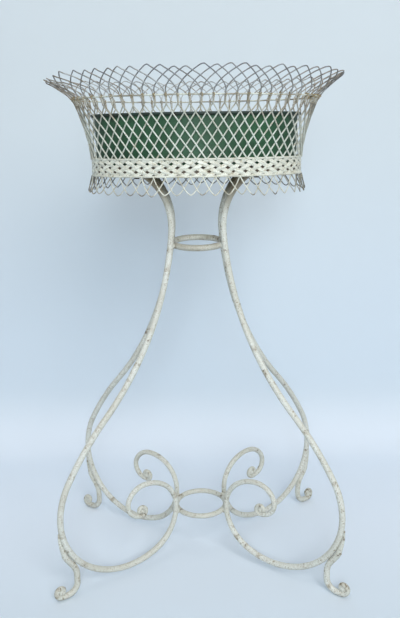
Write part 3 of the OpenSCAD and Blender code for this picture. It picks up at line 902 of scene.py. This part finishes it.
fringe = {
    "drop": 0.031,
    "backDrop": 0.82,  # share of that drop at the back
    "flare": 0.009,
    "wire": 0.00095,
    "belowWire": 0.0012,
    "steps": 9,
    "drops": (0.88, 1.0),
    "flares": (0.8, 1.0),
    "sway": 0.0022,
    "tipRound": 0.01,
    "belly": 0.7,  # less is more pointed
    "tipCross": 0.2,  # share of the half loop over which the wire changes layers
    "wear": (-0.1, 0.5),
    "tone": 0.15,
    "soil": (-0.1, 0.25),
    "backFrom": 0.35,
    "backShade": 1.6,
    "endDarkening": 0.75,
    "tipSoils": (0.0, 0.3, 0.9),
    "tipSteps": 3,
}


def fringeFall(s):
    # share of the drop at a share of the way from the tip to the leg
    start = fringe["tipRound"] ** fringe["belly"]
    full = (1 + fringe["tipRound"]) ** fringe["belly"]
    return 1 - ((s * s + fringe["tipRound"]) ** fringe["belly"] - start) / (full - start)


def makeFringe():
    dice = random.Random(seeds["fringe"])
    form = newForm()
    top = bandLowZ - fringe["belowWire"]
    steps = fringe["steps"]
    for i in range(band["strips"]):
        middle = (i + 0.5) * stripPitch
        facing = ovalArc(middle)[3]
        back = (1 + math.sin(facing)) / 2  # 0 at the front, 1 at the back
        drop = fringe["drop"] * (1 + (fringe["backDrop"] - 1) * back) * dice.uniform(*fringe["drops"])
        out = fringe["flare"] * dice.uniform(*fringe["flares"])
        lean = -math.atan2(out, drop)
        sway = either(dice, fringe["sway"])
        line = []
        for j in range(-steps, steps + 1):
            t = fringeFall(abs(j) / steps)
            run = middle + j / steps * stripPitch + sway * t
            layer = -wires["layer"] * max(-1.0, min(1.0, j / steps / fringe["tipCross"]))
            line.append(ovalPoint(run, out * t, top - drop * t) + layer * outward(run, lean))
        worn = [dice.uniform(*fringe["wear"]) for _ in line]
        # painted shade on the loops at the back, which hang under the basket out of the light
        dark = max(0.0, back - fringe["backFrom"]) * fringe["backShade"] + dice.uniform(*fringe["soil"])
        dark += fringe["endDarkening"] * math.cos(facing) ** 2
        tip = dice.choice(fringe["tipSoils"])
        soil = [dark + tip * max(0.0, 1 - abs(j) / fringe["tipSteps"]) for j in range(-steps, steps + 1)]
        addTube(form, line, fringe["wire"], wires["sides"], worn, either(dice, fringe["tone"]), soil=soil)
    makePiece(form, "fringeLoops", bandPaint, "stand", "fringe_loops")


makeStrips()
makeFringe()
print("stage: band and fringe made")

# Legs and feet are bent bars in upright planes; an arc is a radius and a signed turn in degrees
stand = {
    "turns": {"FrontLeft": 212.5, "FrontRight": -32.5, "BackRight": 36, "BackLeft": 147.5},
    "bar": 0.0055,
    "seat": 0.0003,
    "sides": 14,
    "eyeLong": 0.0084,
    "eyeWear": 0.15,
    "tone": (-0.05, 0.08),
    "hammerWaves": 7,
    "hammerTurns": (0.05, 0.9),
}
leg = {
    "topRadius": 0.116,
    "tail": 0.006,
    "arcs": [(0.031, 35), (0.106, 60.5), (0.532, 37.5), (0.540, -13.5), (0.146, -27.5), (0.1275, -116),
             (0.087, -69), (0.0625, -90.5), (0.038, -65), (0.027, -92.5), (0.040, -13)],
    "heelArc": 5,  # number of the arc that the foot lies against
    "scrollArc": 6,
    "scrollThin": 0.0007,  # how much thinner the bar's radius is in the scrolls
    "roll": [(0.0085, -190), (0.0060, -100), (0.0035, -150)],
    "rollBar": [0.0042, 0.0041, 0.0036, 0.0030],
    "rollRun": 0.035,  # length over which the bar thins down to the roll
    "spacing": 0.0035,
    "eye": 0.0054,
    "hammered": 0.018,
    "wear": (-0.2, 0.35),
    "rollWear": 0.2,
    "ringWear": 0.25,
    "ringUp": 0.02,  # how far above and below the lower ring that wear reaches
    "ringOut": 0.08,
    "ringFade": 0.08,
    "topDarkening": 0.95,  # painted shadow of the basket on the legs' tops, with brown stain
    "darkeningFrom": 0.66,
    "darkeningRise": 0.06,
}
foot = {
    "bar": 0.0055,
    "hug": 10,  # degrees that the bar lies along the heel
    "first": -27,
    "arcs": [(0.038, 37), (0.400, 2.05), (0.0211, 89.21), (0.300, 1.74), (0.009, 150), (0.00594, 110),
             (0.0034, 120)],
    "curlArc": 4,
    "curlThin": 0.16,
    "scarf": 20,  # degrees of the drawn-out end that lies on the leg
    "scarfSteps": 14,
    "scarfTip": 0.15,
    "scarfSink": 0.85,  # share of its radius that it keeps off the leg
    "spacing": 0.003,
    "sole": 0.0001,  # least gap to the floor
    "eye": 0.0070,
    "hammered": 0.02,
    "wear": (-0.1, 0.4),
    "hugWear": 0.1,
    "curlWear": 0.4,
}
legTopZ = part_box("cross_bar_left")[0].z - stand["bar"] - stand["seat"]
legStart = (leg["topRadius"], legTopZ, math.pi)


def arcCentre(place, arc):
    x, z, h = place
    s = math.copysign(1, arc[1])
    return x - s * arc[0] * math.sin(h), z + s * arc[0] * math.cos(h)


def alongArc(place, arc, share=1.0):
    x, z, h = place
    s = math.copysign(1, arc[1])
    cx, cz = arcCentre(place, arc)
    a = h + math.radians(arc[1]) * share
    return cx + s * arc[0] * math.sin(a), cz - s * arc[0] * math.cos(a), a


def bentLine(place, arcs, spacing):
    # points of the line and the number of the arc that each lies on
    line = [(place[0], place[1], 0.0)]
    for number, arc in enumerate(arcs):
        count = max(4, math.ceil(arc[0] * abs(math.radians(arc[1])) / min(spacing, arc[0] * 0.3)))
        for i in range(1, count + 1):
            x, z, a = alongArc(place, arc, i / count)
            line.append((x, z, number + i / count))
        place = alongArc(place, arc)
    return line


def afterArcs(place, arcs):
    for arc in arcs:
        place = alongArc(place, arc)
    return place


def hammered(count, seed, amount):
    # slow and quick unevenness along a bar
    dice = random.Random(seed)
    waves = [(dice.uniform(*stand["hammerTurns"]), anyPhase(dice)) for _ in range(stand["hammerWaves"])]
    return [1 + amount * sum(math.sin(w[0] * i + w[1]) for w in waves) / 3 for i in range(count)]


def upright(line, turn):
    c = math.cos(math.radians(turn))
    s = math.sin(math.radians(turn))
    return [Vector((x * c, x * s, z)) for x, z, _ in line]


def addEye(form, centre, turn, radius):
    # the hammered middle of a closed roll, which stands in the leg's plane
    c = math.cos(math.radians(turn))
    s = math.sin(math.radians(turn))
    middle = Vector((centre[0] * c, centre[0] * s, centre[1]))
    lump(form, middle, Vector((-s, c, 0)), stand["eyeLong"], radius, stand["eyeWear"])


def addBar(form, line, radii, turn, worn, dice, soil=0.0):
    addTube(form, upright(line, turn), radii, stand["sides"], worn, dice.uniform(*stand["tone"]),
            start=Vector((0, 0, 1)), soil=soil)


def nodeOf(part, corner):
    # the CAD node of a leg or foot, such as leg_front_left
    return part + "".join("_" + c.lower() if c.isupper() else c for c in corner)


def legRadius(where, left):
    # thinner in the scroll, and in the roll at its end; left is the length before the roll
    first = len(leg["arcs"])
    if where >= first:
        part = min(where - first, len(leg["roll"]) - 0.001)
        a = leg["rollBar"][int(part)]
        b = leg["rollBar"][int(part) + 1]
        return a + (b - a) * (part - int(part))
    r = stand["bar"]
    if where > leg["scrollArc"]:
        r -= leg["scrollThin"] * min(1.0, where - leg["scrollArc"])
    if left < leg["rollRun"]:
        r += (leg["rollBar"][0] - r) * (1 - left / leg["rollRun"]) ** 1.5
    return r


def legWear(x, z, where):
    # more at the weld to the lower ring and on the roll
    mark = 0.0
    away = abs(z - lowerRingZ)
    if away < leg["ringUp"] and x < leg["ringOut"]:
        mark += leg["ringWear"] - away / leg["ringFade"]
    if where >= len(leg["arcs"]):
        mark += leg["rollWear"]
    return mark


def makeLegs():
    for number, (corner, turn) in enumerate(stand["turns"].items()):
        dice = random.Random(seeds["legWear"] + number)
        line = bentLine(legStart, leg["arcs"] + leg["roll"], leg["spacing"])
        line = [(leg["topRadius"] + leg["tail"], legTopZ, 0.0)] + line
        rough = hammered(len(line), seeds["legBar"] + number, leg["hammered"])
        lastBefore = [i for i, p in enumerate(line) if p[2] <= len(leg["arcs"])][-1]
        radii = []
        worn = []
        soil = []
        for i, (x, z, where) in enumerate(line):
            radii.append(legRadius(where, (lastBefore - i) * leg["spacing"]) * rough[i])
            worn.append(dice.uniform(*leg["wear"]) + legWear(x, z, where))
            # painted shadow of the basket on the leg's top, with brown stain
            soil.append(leg["topDarkening"] * min(1.0, max(0.0, (z - leg["darkeningFrom"]) / leg["darkeningRise"])))
        form = newForm()
        addBar(form, line, radii, turn, worn, dice, soil)
        addEye(form, arcCentre(afterArcs(legStart, leg["arcs"]), leg["roll"][0]), turn, leg["eye"])
        makePiece(form, "leg" + corner, standPaint, "stand", nodeOf("leg", corner))


def footScarf(heel, heelRadius, first):
    # the drawn-out end lies on the leg and thins to nothing
    line = []
    radii = []
    for i in range(foot["scarfSteps"]):
        share = i / foot["scarfSteps"]
        r = foot["bar"] * (foot["scarfTip"] + (1 - foot["scarfTip"]) * share)
        a = first + math.radians(foot["scarf"]) * (1 - share)
        away = heelRadius + stand["bar"] + r * foot["scarfSink"] + stand["seat"] * share
        line.append((heel[0] + away * math.cos(a), heel[1] + away * math.sin(a), -1.0))
        radii.append(r)
    return line, radii


def makeFeet():
    heelArc = leg["arcs"][leg["heelArc"]]
    heel = arcCentre(afterArcs(legStart, leg["arcs"][:leg["heelArc"]]), heelArc)
    out = heelArc[0] + stand["bar"] + foot["bar"] + stand["seat"]
    hug = (out, -foot["hug"])
    first = math.radians(foot["first"])
    start = (heel[0] + out * math.cos(first), heel[1] + out * math.sin(first), first - math.pi / 2)
    curl = foot["curlArc"] + 1  # the hugging arc comes before the foot's own
    for number, (corner, turn) in enumerate(stand["turns"].items()):
        dice = random.Random(seeds["footWear"] + number)
        scarf, radii = footScarf(heel, heelArc[0], first)
        line = bentLine(start, [hug] + foot["arcs"], foot["spacing"])
        rough = hammered(len(line), seeds["footBar"] + number, foot["hammered"])
        for i, (x, z, where) in enumerate(line):
            r = foot["bar"]
            if where > curl:
                r *= 1 - foot["curlThin"] * min(where - curl, 3.0)
            radii.append(min(r * rough[i], z - foot["sole"]))
        line = scarf + line
        worn = []
        for x, z, where in line:
            mark = dice.uniform(*foot["wear"])
            if where < 1:
                mark += foot["hugWear"]
            if where > curl - 0.5:
                mark += foot["curlWear"]
            worn.append(mark)
        form = newForm()
        addBar(form, line, radii, turn, worn, dice)
        place = afterArcs(start, [hug] + foot["arcs"][:foot["curlArc"]])
        addEye(form, arcCentre(place, foot["arcs"][foot["curlArc"]]), turn, foot["eye"])
        makePiece(form, "foot" + corner, standPaint, "stand", nodeOf("foot", corner))


rings = {
    "ringUpper": {"node": "upper_ring", "bar": 0.0055, "slope": 4, "soil": 0.35, "weldWear": 0.4},
    "ringLower": {"node": "lower_ring", "bar": 0.0048, "slope": 0, "soil": 0.0, "weldWear": 0.5},
}
weld = {
    "tall": 0.011,
    "radius": 0.0036,
    "gap": 0.0002,
    "reach": 16,  # degrees along the ring that are worn beside a weld
    "wear": 0.2,
    "ringPoints": 120,
    "ringSides": 12,
    "ringWear": (-0.1, 0.3),
    "ringHammered": 0.012,
}


def makeRings():
    for number, (name, ring) in enumerate(rings.items()):
        lo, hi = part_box(ring["node"])
        bar = ring["bar"]
        radius = (hi.x - lo.x) / 2 - bar
        tilt = math.radians(ring["slope"])
        z = (hi.z + lo.z) / 2
        dice = random.Random(seeds["ringWear"] + number)
        count = weld["ringPoints"]
        line = []
        worn = []
        for i in range(count):
            a = 2 * math.pi * i / count
            line.append(Vector((radius * math.cos(a), radius * math.sin(a) * math.cos(tilt),
                                z + radius * math.sin(a) * math.sin(tilt))))
            mark = dice.uniform(*weld["ringWear"])
            for turn in stand["turns"].values():
                away = abs((math.degrees(a) - turn + 180) % 360 - 180)
                mark += max(0.0, 1 - away / weld["reach"]) * ring["weldWear"]
            worn.append(mark)
        rough = hammered(count, seeds["ringBar"] + number, weld["ringHammered"])
        form = newForm()
        radii = [bar * min(r, 1.0) for r in rough]
        addTube(form, line, radii, weld["ringSides"], worn, 0.0, closed=True, soil=ring["soil"])
        for turn in stand["turns"].values():
            c = math.cos(math.radians(turn))
            s = math.sin(math.radians(turn))
            at = radius + bar + weld["gap"]
            centre = Vector((at * c, at * s, z + radius * s * math.sin(tilt)))
            lump(form, centre, Vector((0, 0, 1)), weld["tall"], weld["radius"], weld["wear"])
        makePiece(form, name, standPaint, "stand", ring["node"])


makeLegs()
makeFeet()
makeRings()
print("stage: stand made")

liner = {
    "gap": 0.0065,
    "taper": 0.002,
    "sheet": 0.001,
    "bead": 0.0027,
    "beadFit": 0.98,
    "beadOut": 0.0003,
    "beadDown": 0.0002,
    "beadDent": 0.00008,
    "beadSides": 12,
    "beadWear": (-0.1, 0.5),
    "seam": 0.009,
    "seamWear": 0.8,
    "dent": 0.0004,
    "waves": 5,
    "slowest": 2,
    "quickest": 9,
    "points": 240,
    "levels": 12,
    "lowWear": 0.25,
    "highWear": 0.2,
    "endDarkening": 0.5,
    "endFrom": 0.09,
    "endRise": 0.08,
    "highDarkening": 0.3,
}


def linerSection(i, low, high, waves):
    # up the outer face and down the inner one
    run = roundRun * i / liner["points"]
    a = 2 * math.pi * i / liner["points"]
    levels = liner["levels"]
    section = []
    for face in (0, 1):
        for j in range(levels + 1):
            share = j / levels if face == 0 else 1 - j / levels
            bulge = sum(w[2] * math.sin(w[0] * a + w[1] + 2 * share) for w in waves)
            dent = liner["dent"] * bulge * math.sin(math.pi * share) / 2
            offset = -liner["gap"] - liner["taper"] * (1 - share) - face * liner["sheet"] + dent
            section.append(ovalPoint(run, offset, low + (high - low) * share))
    return section


def makeLinerWall(dice):
    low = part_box("liner_wall")[0].z
    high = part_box("liner_wall")[1].z
    waves = []
    for _ in range(liner["waves"]):
        waves.append((dice.randint(liner["slowest"], liner["quickest"]), anyPhase(dice), either(dice, 1)))
    form = newForm()
    count = liner["points"]
    wide = 2 * (liner["levels"] + 1)
    for i in range(count):
        for p in linerSection(i, low, high, waves):
            form["points"].append(p)
            share = (p.z - low) / (high - low)
            end = min(1.0, max(0.0, (abs(p.x) - liner["endFrom"]) / liner["endRise"]))
            # the lowest fifth, the highest sixth and the highest eighth
            worn = liner["lowWear"] * max(0.0, 1 - share * 5) + liner["highWear"] * max(0.0, share * 6 - 5)
            form["rust"].append(worn)
            form["tone"].append(0.0)
            # darker towards the ends and in the highest eighth, just under the rolled edge
            form["soil"].append(liner["endDarkening"] * end + liner["highDarkening"] * max(0.0, share * 8 - 7))
        a = i * wide
        b = (i + 1) % count * wide
        for k in range(wide):
            form["faces"].append((a + k, b + k, b + (k + 1) % wide, a + (k + 1) % wide))
    makePiece(form, "linerWall", linerPaint, "liner", "liner_wall")


def makeLinerBead(dice):
    form = newForm()
    offset = -liner["gap"] + liner["bead"] + liner["beadOut"]
    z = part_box("liner_rim_bead")[1].z - liner["bead"] - liner["beadDown"]
    worn = [dice.uniform(*liner["beadWear"]) for _ in range(liner["points"])]
    line = wobblyLine(offset, z, liner["points"], liner["beadDent"], seeds["linerBead"])
    addTube(form, line, liner["bead"] * liner["beadFit"], liner["beadSides"], worn, 0.0, closed=True)
    # the seam where the rolled edge meets itself at the back
    seam = ovalPoint(roundRun / 2, offset, z)
    lump(form, seam, Vector((1, 0, 0)), liner["seam"], liner["bead"], liner["seamWear"])
    makePiece(form, "linerBead", linerEdgePaint, "liner", "liner_rim_bead")


linerDice = random.Random(seeds["liner"])
makeLinerWall(linerDice)
makeLinerBead(linerDice)

# Pieces that the basket mostly hides keep the frame's own shape and only get a finish
plainPieces = {
    "bearer_hoop": floorIron,
    "cross_bar_left": floorIron,
    "cross_bar_right": floorIron,
    "floor_rods": floorIron,
    "leg_rivets": floorIron,
    "liner_base": linerPaint,
}
for name, material in plainPieces.items():
    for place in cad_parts[name].material_slots:
        place.material = material
print("stage: liner made")

# Floor, backdrop, light and camera
room = {
    "tone": linear(210, 222, 232),
    "surface": linear(219, 231, 240),
    "dimmer": 0.99,  # share of the surface's brightness in its darker patches
    # bright is painted light on the floor towards the backdrop and at the backdrop's foot, upper is painted
    # shade higher up the backdrop
    "bright": linear(237, 246, 255),
    "upper": linear(216, 225, 229),
    "roughness": 0.9,
    "shine": 0.1,
    "patches": 3.0,
    "floorFade": (0.8, 1.8),  # metres from the middle over which the floor melts away
    "sideFade": (0.7, 1.05),
    "topFade": (1.2, 1.55),
    "floorBright": (-0.35, 0.15),
    "wallBright": (0.0, 0.14),
    "wallUpper": (0.25, 0.95),
    "floorRings": [0.5, 1.0, 1.6, 2.4, 4.0, 8.0, 20.0],
    "floorSides": 64,
    "wallY": 0.52,
    "cove": 0.16,
    "coveSteps": 12,
    "coveLip": 0.02,
    "coveUp": 0.0004,
    "wallHalf": 1.1,
    "wallTop": 1.6,
    "columns": 24,
    "worldLight": 0.31,
    "worldTint": (0.95, 0.97, 1.0, 1.0),
}


def stageMaterial(name, fadeIn, brightIn, upperIn=None):
    # diffuse where the object stands, melting into the background's own tone further out; its
    # back is clear, so that the backdrop hides nothing from behind
    material, tree, shader = newMaterial(name)
    shader.inputs["Roughness"].default_value = room["roughness"]
    shader.inputs["Specular IOR Level"].default_value = room["shine"]
    where = tree.nodes.new("ShaderNodeTexCoord").outputs["Object"]
    cloth = noise(tree, where, room["patches"], 2)
    darker = tuple(c * room["dimmer"] for c in room["surface"][:3]) + (1.0,)
    colour = blendColour(tree, cloth, darker, room["surface"])
    parts = tree.nodes.new("ShaderNodeSeparateXYZ")
    tree.links.new(where, parts.inputs[0])
    # painted light: a brighter band on the floor towards the backdrop and low on the backdrop
    colour = blendColour(tree, brightIn(tree, parts), colour, room["bright"])
    if upperIn:
        # painted shade: greyer higher up the backdrop
        colour = blendColour(tree, upperIn(tree, parts), colour, room["upper"])
    tree.links.new(colour, shader.inputs["Base Color"])
    glow = tree.nodes.new("ShaderNodeEmission")
    glow.inputs["Color"].default_value = room["tone"]
    clear = tree.nodes.new("ShaderNodeBsdfTransparent")
    rays = tree.nodes.new("ShaderNodeLightPath")
    seen = maths(tree, "MAXIMUM", rays.outputs["Is Camera Ray"], rays.outputs["Is Glossy Ray"])
    mix = tree.nodes.new("ShaderNodeMixShader")
    tree.links.new(maths(tree, "MULTIPLY", fadeIn(tree, where, parts), seen), mix.inputs[0])
    tree.links.new(shader.outputs[0], mix.inputs[1])
    tree.links.new(glow.outputs[0], mix.inputs[2])
    surface = tree.nodes.new("ShaderNodeNewGeometry")
    behind = tree.nodes.new("ShaderNodeMixShader")
    tree.links.new(surface.outputs["Backfacing"], behind.inputs[0])
    tree.links.new(mix.outputs[0], behind.inputs[1])
    tree.links.new(clear.outputs[0], behind.inputs[2])
    tree.links.new(behind.outputs[0], tree.nodes["Material Output"].inputs["Surface"])
    return material


def floorFade(tree, where, parts):
    length = tree.nodes.new("ShaderNodeVectorMath")
    length.operation = "LENGTH"
    tree.links.new(where, length.inputs[0])
    return step(tree, length.outputs["Value"], *room["floorFade"])


def wallFade(tree, where, parts):
    sides = step(tree, maths(tree, "ABSOLUTE", parts.outputs["X"]), *room["sideFade"])
    top = step(tree, parts.outputs["Z"], *room["topFade"])
    return maths(tree, "MAXIMUM", sides, top)


def floorBright(tree, parts):
    return step(tree, parts.outputs["Y"], *room["floorBright"])


def wallBright(tree, parts):
    return maths(tree, "SUBTRACT", 1.0, step(tree, parts.outputs["Z"], *room["wallBright"]))


def wallUpper(tree, parts):
    return step(tree, parts.outputs["Z"], *room["wallUpper"])


def stagePiece(name, points, faces, material):
    mesh = bpy.data.meshes.new(name)
    mesh.from_pydata(points, [], faces)
    mesh.shade_smooth()
    mesh.materials.append(material)
    piece = bpy.data.objects.new(name, mesh)
    bpy.context.scene.collection.objects.link(piece)


def makeFloor():
    sides = room["floorSides"]
    points = [(0, 0, 0)]
    for r in room["floorRings"]:
        for k in range(sides):
            a = 2 * math.pi * k / sides
            points.append((r * math.cos(a), r * math.sin(a), 0))
    faces = [(0, 1 + k, 1 + (k + 1) % sides) for k in range(sides)]
    for i in range(len(room["floorRings"]) - 1):
        a = 1 + i * sides
        b = a + sides
        for k in range(sides):
            faces.append((a + k, b + k, b + (k + 1) % sides, a + (k + 1) % sides))
    stagePiece("floor", points, faces, stageMaterial("floorPaper", floorFade, floorBright))


def makeBackdrop():
    bend = room["wallY"] - room["cove"]
    profile = [(bend - room["coveLip"], room["coveUp"])]
    for i in range(room["coveSteps"] + 1):
        a = math.pi / 2 * i / room["coveSteps"]
        profile.append((bend + room["cove"] * math.sin(a), room["coveUp"] + room["cove"] * (1 - math.cos(a))))
    profile.append((room["wallY"], room["wallTop"]))
    columns = room["columns"]
    points = []
    for i in range(columns + 1):
        x = room["wallHalf"] * (2 * i / columns - 1)
        points += [(x, y, z) for y, z in profile]
    faces = []
    n = len(profile)
    for i in range(columns):
        for k in range(n - 1):
            faces.append((i * n + k, (i + 1) * n + k, (i + 1) * n + k + 1, i * n + k + 1))
    stagePiece("backdrop", points, faces, stageMaterial("backdropPaper", wallFade, wallBright, wallUpper))


def makeWorld():
    # soft light from all round, and the background's tone where the camera looks past the stage
    world = bpy.data.worlds.new("studio")
    world.use_nodes = True
    bpy.context.scene.world = world
    tree = world.node_tree
    light = tree.nodes["Background"]
    light.inputs["Color"].default_value = room["worldTint"]
    light.inputs["Strength"].default_value = room["worldLight"]
    seen = tree.nodes.new("ShaderNodeBackground")
    seen.inputs["Color"].default_value = room["tone"]
    rays = tree.nodes.new("ShaderNodeLightPath")
    mix = tree.nodes.new("ShaderNodeMixShader")
    facing = maths(tree, "MAXIMUM", rays.outputs["Is Camera Ray"], rays.outputs["Is Glossy Ray"])
    tree.links.new(facing, mix.inputs[0])
    tree.links.new(light.outputs[0], mix.inputs[1])
    tree.links.new(seen.outputs[0], mix.inputs[2])
    tree.links.new(mix.outputs[0], tree.nodes["World Output"].inputs["Surface"])


lamps = {
    "keyLamp": {"place": (0.75, -2.3, 2.0), "aim": (0, 0.1, 0.55), "size": 1.6, "power": 38,
                "tint": (1.0, 0.98, 0.972)},
    "fillLamp": {"place": (0.0, -2.4, 1.3), "aim": (0, 0.1, 0.55), "size": 0.6, "power": 17,
                 "tint": (0.82, 0.92, 1.0)},
    "topLamp": {"place": (-0.3, -0.4, 2.6), "aim": (0, 0.1, 0.4), "size": 1.4, "power": 8,
                "tint": (0.97, 0.98, 1.0)},
}


def makeLamps():
    for name, looks in lamps.items():
        lamp = bpy.data.lights.new(name, "AREA")
        lamp.shape = "DISK"
        lamp.size = looks["size"]
        lamp.energy = looks["power"]
        lamp.color = looks["tint"]
        holder = bpy.data.objects.new(name, lamp)
        holder.location = looks["place"]
        way = Vector(looks["aim"]) - Vector(looks["place"])
        holder.rotation_euler = way.to_track_quat("-Z", "Y").to_euler()
        bpy.context.scene.collection.objects.link(holder)


camera = {
    "lens": 39.61,
    "sensor": 36,
    "shiftX": 0.0025,
    "place": (0, -1.1994, 0.7942),
    "pitch": 75.725,  # degrees up from straight down
    "roll": -0.778,
}


def makeCamera():
    lens = bpy.data.cameras.new("camera")
    lens.lens = camera["lens"]
    lens.sensor_width = camera["sensor"]
    lens.shift_x = camera["shiftX"]
    holder = bpy.data.objects.new("camera", lens)
    holder.matrix_world = (Matrix.Translation(camera["place"])
                           @ Matrix.Rotation(math.radians(camera["pitch"]), 4, "X")
                           @ Matrix.Rotation(math.radians(camera["roll"]), 4, "Z"))
    bpy.context.scene.collection.objects.link(holder)
    bpy.context.scene.camera = holder


makeFloor()
makeBackdrop()
makeWorld()
makeLamps()
makeCamera()
bpy.context.scene.view_settings.view_transform = "Standard"
print("stage: studio made")
